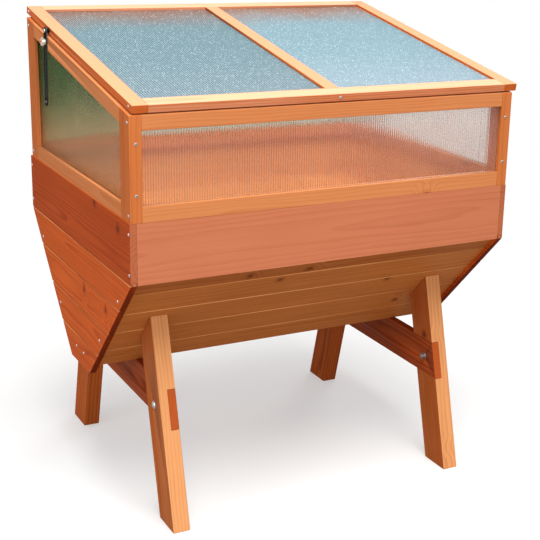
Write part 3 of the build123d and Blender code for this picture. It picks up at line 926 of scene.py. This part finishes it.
def dress_stay_arm(node, slot, material, edge_width):
    """The stay's arm with eased edges, its narrow faces marked for a painted highlight."""
    solid = next(node_solids(node))
    edge_highlight_layer = solid.faces.layers.float.new("worn_edge")
    for face in solid.faces:
        face[edge_highlight_layer] = float(abs(face.normal.x) < HALF_WAY)
    mark_eased_edges(solid, 0.0)
    name = node + "_steel"
    piece = linked_object(name, mesh_from(solid, name, material))
    ease_edges(piece, edge_width)
    settle(piece, body_of(node), slot, node)


def paint_node(node, material):
    """A CAD node that keeps its shape gets its finish."""
    mesh = frame["nodes"][node].data
    mesh.materials.clear()
    mesh.materials.append(material)


def sheet_ends(solid, along, across, place):
    """The lowest and highest points of a sheet's outline along the ribs, at a place across it."""
    ends = []
    for edge in solid.edges:
        corners = sorted((vert.co.dot(across), vert.co.dot(along)) for vert in edge.verts)
        (low, low_end), (high, high_end) = corners
        if high - low > SMALL_GAP and low - SLACK <= place <= high + SLACK:
            ends.append(low_end + (place - low) / (high - low) * (high_end - low_end))
    return min(ends), max(ends)


def dress_sheet(node, rib_way, material, sizes):
    """A twin-wall sheet: its outer shell, and an inner channel between each two ribs."""
    solid = next(node_solids(node))
    depth = widest_of(solid.faces).normal.copy()
    along = (rib_way - depth * rib_way.dot(depth)).normalized()
    across = depth.cross(along)
    reach = [vert.co.dot(across) for vert in solid.verts]
    levels = [vert.co.dot(depth) for vert in solid.verts]
    low, high = min(reach), max(reach)
    count = int((high - low) / sizes.rib_pitch)
    start = (low + high - count * sizes.rib_pitch) / 2
    middle = (min(levels) + max(levels)) / 2
    hollow = max(levels) - min(levels) - 2 * sizes.skin
    turned = Matrix((along, across, depth)).transposed().to_4x4()
    channels = bmesh.new()
    for index in range(count):
        left = start + index * sizes.rib_pitch + sizes.rib_wall / 2
        right = left + sizes.rib_pitch - sizes.rib_wall
        box = bmesh.ops.create_cube(channels, size=1)
        for vert in box["verts"]:
            place = left if vert.co.y < 0 else right
            ends = sheet_ends(solid, along, across, place)
            end = ends[0] + sizes.skin if vert.co.x < 0 else ends[1] - sizes.skin
            vert.co = turned @ Vector((end, place, middle + vert.co.z * hollow))
    bmesh.ops.reverse_faces(channels, faces=channels.faces[:])
    add_to(solid, channels)
    grain_layer = solid.verts.layers.float_vector.new("grain")
    for vert in solid.verts:
        grain = (vert.co.dot(along), vert.co.dot(across) - start, vert.co.dot(depth) - middle)
        vert[grain_layer] = Vector(grain)
    name = node + "_sheet"
    piece = linked_object(name, mesh_from(solid, name, material))
    settle(piece, body_of(node), "twin_wall_sheet", node)


def screw_head(head, radius, dome, cross):
    """A pan head with a cross recess, its seat at the origin and its top towards +Z."""
    arm = cross * CROSS_ARM
    outline = [(cross, -arm), (cross, arm), (arm, arm), (arm, cross), (-arm, cross), (-arm, arm)]
    outline += [(-x, -y) for x, y in outline]
    floor = [head.verts.new((x, y, dome * CROSS_FLOOR)) for x, y in outline]
    head.faces.new(floor)
    rim = [head.verts.new((x, y, dome)) for x, y in outline]
    for index, vert in enumerate(floor):
        following = (index + 1) % len(floor)
        head.faces.new((floor[following], vert, rim[index], rim[following]))
    rings = [rim]
    for step in range(HEAD_STEPS + 1):
        angle = math.pi / 2 * step / HEAD_STEPS
        ring_radius = radius * (HEAD_FLAT + (1 - HEAD_FLAT) * math.sin(angle))
        level = Matrix.Translation((0, 0, dome * math.cos(angle)))
        circle = bmesh.ops.create_circle(head, segments=HEAD_SIDES, radius=ring_radius, matrix=level)
        rings.append(circle["verts"])
    for pair in zip(rings, rings[1:]):
        loops = [edge for edge in head.edges if any(all(v in ring for v in edge.verts) for ring in pair)]
        bmesh.ops.bridge_loops(head, edges=loops)


def screw_group(name, body, places, material, sizes, scale=1.0):
    """One piece of like wood screws, each at its place with its head towards its own way out."""
    chance = random.Random(name)
    heads = bmesh.new()
    for place, out in places:
        head = bmesh.new()
        screw_head(head, sizes.screw_head * scale, sizes.screw_dome * scale, sizes.screw_cross * scale)
        spin = Matrix.Rotation(chance.uniform(0, math.pi), 4, "Z")
        turn = UP.rotation_difference(out).to_matrix().to_4x4()
        bmesh.ops.transform(head, matrix=Matrix.Translation(place) @ turn @ spin, verts=head.verts[:])
        bmesh.ops.recalc_face_normals(head, faces=head.faces[:])
        add_to(heads, head)
    settle(linked_object(name, mesh_from(heads, name, material)), body, "zinc_steel")


def end_panel_places():
    """Screws through the end boards into the rim boards, the slope boards' battens and the floor."""
    places = []
    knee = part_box("front_board")[0].z
    for node, out in (("end_boards_left", -RIGHT), ("end_boards_right", RIGHT)):
        low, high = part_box(node)
        face = low.x if out.x < 0 else high.x
        middle = (low.y + high.y) / 2
        half = (high.y - low.y) / 2
        corners = [vert.co for vert in frame["nodes"][node].data.vertices]
        foot = max(abs(corner.y - middle) for corner in corners if corner.z < low.z + SMALL_GAP)
        aside = half - millimetres(RIM_SCREW_INSET)
        spots = [(aside, high.z - millimetres(drop)) for drop in RIM_SCREW_DROPS]
        for drop in SLOPE_SCREW_DROPS:
            height = knee - millimetres(drop)
            edge = foot + (half - foot) * (height - low.z) / (knee - low.z)
            spots.append((edge - millimetres(SLOPE_SCREW_INSET), height))
        spots.append((millimetres(FLOOR_SCREW_REACH), low.z + millimetres(FLOOR_SCREW_RISE)))
        for reach, height in spots:
            for side in BOTH_SIDES:
                places.append((Vector((face, middle + side * reach, height)), out))
    return places


def frame_places():
    """Screws through the corner stiles of the cold frame, from the front, the rear and the sides."""
    places = []
    for wall, out in (("front", -REAR), ("rear", REAR)):
        for side, side_out in (("left", -RIGHT), ("right", RIGHT)):
            low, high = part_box(f"{wall}_stile_{side}")
            face_y = low.y if out.y < 0 else high.y
            face_x = low.x if side_out.x < 0 else high.x
            middle_x = (low.x + high.x) / 2 - side_out.x * millimetres(STILE_SCREW_SHIFT)
            middle_y = (low.y + high.y) / 2
            for x, y, way, rise, drop in (
                (middle_x, face_y, out, STILE_SCREW_RISE, STILE_SCREW_DROP),
                (face_x, middle_y, side_out, CORNER_SCREW_RISE, CORNER_SCREW_DROP),
            ):
                for height in (low.z + millimetres(rise), high.z - millimetres(drop)):
                    places.append((Vector((x, y, height)), way))
    return places


def hinge_places():
    """Two screws through each hinge's leaf on the frame."""
    places = []
    for solid in node_solids("hinge_frame_leaves"):
        plate = widest_of(face for face in solid.faces if face.normal.y > SQUARELY)
        middle = plate.calc_center_bounds()
        reach = max(abs(vert.co.x - middle.x) for vert in plate.verts)
        for side in BOTH_SIDES:
            places.append((middle + RIGHT * side * reach * HINGE_SCREW_REACH, REAR))
        solid.free()
    return places


def box_middle(node):
    """The middle of a CAD node's box."""
    low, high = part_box(node)
    return (low + high) / 2


def lid_slope():
    """The direction from the lid's front to its rear."""
    solid = next(node_solids("lid_stile_left"))
    slope = board_axes(solid)[0]
    solid.free()
    return slope


def lid_places():
    """Screws through the lid's stiles into its rails, and through the front rail into the middle bar."""
    places = []
    for node, out in (("lid_stile_left", -RIGHT), ("lid_stile_right", RIGHT)):
        low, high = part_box(node)
        face = low.x if out.x < 0 else high.x
        for rail in ("lid_front_rail", "lid_rear_rail"):
            middle = box_middle(rail)
            places.append((Vector((face, middle.y, middle.z)), out))
    slope = lid_slope()
    middle = box_middle("lid_front_rail")
    middle.x = box_middle("lid_mid_bar").x
    front = min(vert.co.dot(slope) for vert in frame["nodes"]["lid_front_rail"].data.vertices)
    places.append((middle + slope * (front - middle.dot(slope)), -slope))
    return places


def choices(context):
    """The sidebar's colours and sizes."""
    return context.scene.bed_colours, context.scene.bed_sizes


class BED_OT_trough(bpy.types.Operator):
    """Dress the trough's boards"""

    bl_idname = "raised_bed.trough"
    bl_label = "Trough boards"

    def execute(self, context):
        colours, sizes = choices(context)
        end, rim, slope, inner = (stained_wood(colours, key) for key in ("end", "rim", "slope", "inner"))
        battens = ("batten_front_left", "batten_front_right", "batten_rear_left", "batten_rear_right")
        # The top shade darkens the highest end board, slope board and floor board: painted shade
        for materials, nodes, top_shade in (
            # On the end boards, the paler rim wood on the upright edges and the inner wood are painted light
            ((end, inner, rim), ("end_boards_left", "end_boards_right"), 2.0),
            ((rim, inner), ("front_board", "rear_board"), 0.0),
            ((slope, inner), ("slope_boards_front", "slope_boards_rear", "floor_board"), 1.6),
            ((inner,), battens, 0.0),
        ):
            for node in nodes:
                dress_wood(node, "trough_wood", materials, sizes.board_edge, top_shade)
        return {"FINISHED"}


class BED_OT_stand(bpy.types.Operator):
    """Dress the legs and crossbars"""

    bl_idname = "raised_bed.stand"
    bl_label = "Legs and crossbars"

    def execute(self, context):
        colours, sizes = choices(context)
        # The rear legs and the crossbars take darker woods: painted shade under the trough
        front, rear, bar = (stained_wood(colours, key) for key in ("leg", "rear_leg", "crossbar"))
        # The right legs and crossbar are darkened: painted shade
        for side, darkening in (("left", 0.0), ("right", 0.8)):
            dress_wood("leg_front_" + side, "leg_wood", (front,), sizes.leg_edge, darkening)
            dress_wood("leg_rear_" + side, "leg_wood", (rear,), sizes.leg_edge, darkening)
            dress_wood("crossbar_" + side, "leg_wood", (bar,), sizes.rail_edge, darkening)
        return {"FINISHED"}


class BED_OT_cold_frame(bpy.types.Operator):
    """Dress the rails and stiles of the cold frame"""

    bl_idname = "raised_bed.cold_frame"
    bl_label = "Cold frame rails"

    def execute(self, context):
        colours, sizes = choices(context)
        rail, stile = (stained_wood(colours, key) for key in ("frame", "stile"))
        for wall in ("front", "rear"):
            for side in ("left", "right"):
                for node in (f"{wall}_stile_{side}", f"{side}_{wall}_stile"):
                    dress_wood(node, "frame_wood", (stile,), sizes.rail_edge)
        for wall in ("front", "rear", "left", "right"):
            for level in ("top", "bottom"):
                dress_wood(f"{wall}_{level}_rail", "frame_wood", (rail,), sizes.rail_edge)
        return {"FINISHED"}


class BED_OT_lid(bpy.types.Operator):
    """Dress the bars of the lid"""

    bl_idname = "raised_bed.lid"
    bl_label = "Lid bars"

    def execute(self, context):
        colours, sizes = choices(context)
        # The rails take a paler copy of the lid wood: painted light
        bar, rail = (stained_wood(colours, key) for key in ("lid", "lid_rail"))
        for material, names in (
            (bar, ("stile_left", "stile_right", "mid_bar")),
            (rail, ("front_rail", "rear_rail")),
        ):
            for name in names:
                dress_wood("lid_" + name, "frame_wood", (material,), sizes.rail_edge)
        return {"FINISHED"}


class BED_OT_sheets(bpy.types.Operator):
    """Build the twin-wall sheets of the walls and the lid"""

    bl_idname = "raised_bed.sheets"
    bl_label = "Twin-wall sheets"

    def execute(self, context):
        colours, sizes = choices(context)
        pitch = sizes.rib_pitch
        # The left sheet takes the painted green view; the others take their own tint there
        for wall, tint, painted_view, haze, index, rib_tone in (
            ("front", colours.front_sheet, colours.front_sheet, 0.018, 1.12, 0.94),
            ("left", colours.left_sheet, colours.painted_green_view, 0.02, 1.06, 0.82),
            ("right", colours.right_sheet, colours.right_sheet, 0.12, 1.12, 0.94),
            ("rear", colours.rear_sheet, colours.rear_sheet, 0.0, 1.06, 0.94),
        ):
            material = sheet_material(wall.title() + " sheet", tint, painted_view, haze, index, rib_tone, pitch)
            dress_sheet(wall + "_pane", UP, material, sizes)
        slope = lid_slope()
        reach = [corner.dot(slope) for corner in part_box("lid_pane_left")]
        # The lid's tints carry a painted sky reflection
        for side, tint, rib_depth in (("left", colours.lid_left, 0.85), ("right", colours.lid_right, 0.55)):
            name = f"Lid sheet, {side}"
            material = wet_sheet_material(name, tint, colours.lid_shade, reach, pitch, rib_depth)
            dress_sheet("lid_pane_" + side, REAR, material, sizes)
        return {"FINISHED"}


class BED_OT_fittings(bpy.types.Operator):
    """Finish the hinges, the stay, the wing screw and the leg bolts"""

    bl_idname = "raised_bed.fittings"
    bl_label = "Fittings"

    def execute(self, context):
        colours, sizes = choices(context)
        zinc = scuffed_metal("Zinc plate", colours.zinc, metallic=1.0, roughness=0.26, wear=0.20)
        black = black_coat("Black coat", colours.black, colours.highlighted_edge)
        brass = scuffed_metal("Brass", colours.brass, metallic=0.45, roughness=0.22, wear=0.16)
        screws = ("leg_bolts", "leg_washers", "leg_nuts", "stay_rivet", "stay_pivot_screw")
        hinges = ("hinge_frame_leaves", "hinge_lid_leaves", "hinge_pins")
        for node in screws + hinges:
            paint_node(node, zinc)
        dress_stay_arm("stay_arm", "black_steel", black, sizes.stay_edge)
        paint_node("stay_spacer", black)
        paint_node("wing_screw", brass)
        return {"FINISHED"}


class BED_OT_screws(bpy.types.Operator):
    """Set the wood screws of the end boards, the cold frame, the lid and the hinges"""

    bl_idname = "raised_bed.screws"
    bl_label = "Wood screws"

    def execute(self, context):
        colours, sizes = choices(context)
        zinc = scuffed_metal("Screw zinc", colours.zinc, metallic=0.6, roughness=0.22, wear=0.2)
        screw_group("end_board_screws", "bed", end_panel_places(), zinc, sizes)
        screw_group("frame_screws", "bed", frame_places(), zinc, sizes)
        screw_group("lid_screws", "lid", lid_places(), zinc, sizes)
        screw_group("hinge_screws", "bed", hinge_places(), zinc, sizes, HINGE_SCREW_SCALE)
        return {"FINISHED"}


def area_lamp(name, place, aim, size, watts):
    """A square soft lamp that faces a height over the middle and isn't seen through the sheets."""
    lamp = bpy.data.lights.new(name, "AREA")
    lamp.shape = "SQUARE"
    lamp.size = size
    lamp.energy = watts
    holder = linked_object(name, lamp)
    holder.location = place
    holder.rotation_euler = (Vector((0, 0, aim)) - Vector(place)).to_track_quat("-Z", "Y").to_euler()
    holder.visible_transmission = False


def studio_world(sky_level):
    """Even light all round, and white behind the object for the camera, gloss and glass."""
    world = bpy.data.worlds.new("Studio")
    world.use_nodes = True
    world.node_tree.nodes.clear()
    net = Net(world.node_tree)
    light, white = (
        net.fill(net.add("ShaderNodeBackground"), {"Color": colour, "Strength": strength})[0]
        for colour, strength in ((SKY_COLOUR, sky_level), (WHITE, 1.0))
    )
    path = net.add("ShaderNodeLightPath").outputs
    seen = net.math("MAXIMUM", path["Is Camera Ray"], path["Is Glossy Ray"])
    seen = net.math("MAXIMUM", seen, path["Is Transmission Ray"])
    net.feed(net.add("ShaderNodeOutputWorld").inputs["Surface"], net.blended(seen, light, white))
    bpy.context.scene.world = world


def studio_floor():
    """A pale round floor that keeps the shadow and turns plain white away from the object."""
    material, net, shader, surface = new_material("Studio floor")
    path = net.add("ShaderNodeLightPath").outputs
    seen = net.math("MAXIMUM", path["Is Camera Ray"], path["Is Transmission Ray"])
    net.fill(shader, {"Base Color": net.mixed(seen, FLOOR_UNSEEN, FLOOR_SEEN), "Roughness": 0.9})
    x, y, _ = net.split(net.object_place())
    far = net.between(net.radius(x, y), *FLOOR_FADE, to_low=FLOOR_WHITENESS)
    white = net.fill(net.add("ShaderNodeEmission"), {"Color": WHITE, "Strength": 1.0})[0]
    net.feed(surface, net.blended(net.times(far, seen), shader.outputs[0], white))
    ground = bmesh.new()
    bmesh.ops.create_circle(ground, cap_ends=True, segments=FLOOR_SIDES, radius=FLOOR_RADIUS)
    linked_object("studio_floor", mesh_from(ground, "studio_floor", material))


def studio_camera(stage):
    """The photograph's viewpoint."""
    lens = bpy.data.cameras.new("Camera")
    lens.sensor_width = SENSOR_WIDTH
    lens.lens = stage.focal_pixels / PICTURE_SIDE * SENSOR_WIDTH
    lens.shift_x = stage.shift_x
    lens.shift_y = stage.shift_y
    side = Vector((math.cos(stage.camera_yaw), -math.sin(stage.camera_yaw), 0))
    level = Vector((math.sin(stage.camera_yaw), math.cos(stage.camera_yaw), 0))
    ahead = level * math.cos(stage.camera_pitch) + UP * math.sin(stage.camera_pitch)
    upward = side.cross(ahead)
    lean, keep = math.sin(stage.camera_roll), math.cos(stage.camera_roll)
    axes = (side * keep + upward * lean, upward * keep - side * lean, -ahead)
    camera = linked_object("Camera", lens)
    camera.matrix_world = Matrix.Translation(stage.camera_place) @ Matrix(axes).transposed().to_4x4()
    bpy.context.scene.camera = camera


class BED_OT_stage(bpy.types.Operator):
    """Set the camera, the lamps, the floor and the white surroundings"""

    bl_idname = "raised_bed.stage"
    bl_label = "Stage"

    def execute(self, context):
        stage = context.scene.bed_stage
        studio_camera(stage)
        studio_world(stage.sky_level)
        studio_floor()
        for name, (place, aim, size) in LAMPS.items():
            area_lamp(name.title() + " lamp", place, aim, size, getattr(stage, name + "_watts"))
        context.scene.view_settings.view_transform = "Standard"
        return {"FINISHED"}


PIECE_OPERATORS = (
    BED_OT_stage,
    BED_OT_trough,
    BED_OT_stand,
    BED_OT_cold_frame,
    BED_OT_lid,
    BED_OT_sheets,
    BED_OT_fittings,
    BED_OT_screws,
)
SETTINGS = (("bed_sizes", BedSizes), ("bed_colours", BedColours), ("bed_stage", BedStage))


class BED_PT_sidebar(bpy.types.Panel):
    """The pieces and their settings"""

    bl_idname = "BED_PT_sidebar"
    bl_label = "Raised bed"
    bl_space_type = "VIEW_3D"
    bl_region_type = "UI"
    bl_category = "Raised bed"

    def draw(self, context):
        for operator in PIECE_OPERATORS:
            self.layout.operator(operator.bl_idname)
        for name, group in SETTINGS:
            box = self.layout.box()
            for setting in group.__annotations__:
                box.prop(getattr(context.scene, name), setting)


def register():
    """Makes the settings, operators and panel known to Blender."""
    for name, group in SETTINGS:
        bpy.utils.register_class(group)
        setattr(bpy.types.Scene, name, PointerProperty(type=group))
    for part in (*PIECE_OPERATORS, BED_PT_sidebar):
        bpy.utils.register_class(part)


def unregister():
    """Takes them out again."""
    for part in (BED_PT_sidebar, *reversed(PIECE_OPERATORS)):
        bpy.utils.unregister_class(part)
    for name, group in SETTINGS:
        delattr(bpy.types.Scene, name)
        bpy.utils.unregister_class(group)


def main():
    """Builds every piece and the stage."""
    register()
    bpy.ops.raised_bed.stage()
    bpy.ops.raised_bed.trough()
    bpy.ops.raised_bed.stand()
    bpy.ops.raised_bed.cold_frame()
    bpy.ops.raised_bed.lid()
    bpy.ops.raised_bed.sheets()
    bpy.ops.raised_bed.fittings()
    bpy.ops.raised_bed.screws()


if __name__ == "__main__":
    main()
